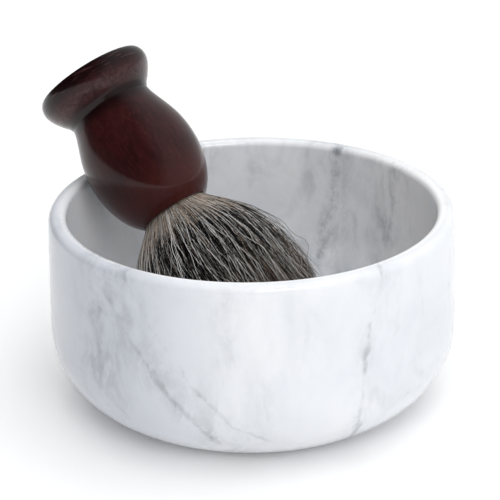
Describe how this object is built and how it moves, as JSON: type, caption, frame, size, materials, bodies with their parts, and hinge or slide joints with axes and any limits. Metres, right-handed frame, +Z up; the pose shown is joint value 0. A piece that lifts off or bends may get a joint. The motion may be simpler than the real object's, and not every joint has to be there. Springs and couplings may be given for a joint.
{
  "type": "shaving bowl with brush",
  "caption": "Round turned marble shaving bowl with a badger-hair shaving brush leaning over its rim; the brush lifts out.",
  "frame": {"origin": "centre of the bowl's flat base, on the surface it stands on", "axes": "+Z up along the bowl's axis; the brush's handle leans over the rim towards -X and +Y"},
  "size_m": [0.1295, 0.127, 0.1061],
  "materials": {
    "marble": "polished",
    "lacquered_wood": "gloss",
    "adhesive": "gloss",
    "resin": "gloss",
    "thread": "satin",
    "badger_hair": "satin"
  },
  "bodies": {
    "bowl": {"bowl": "marble"},
    "brush": {"brush_handle": "lacquered_wood", "knot_adhesive": "adhesive", "knot_plug": "resin", "knot_whipping": "thread", "knot_hair": "badger_hair"}
  },
  "joints": [
    {"name": "brush_lift", "type": "slide", "parent": "bowl", "child": "brush", "axis": [0, 0, 1], "range_m": [0, 0.08]}
  ]
}
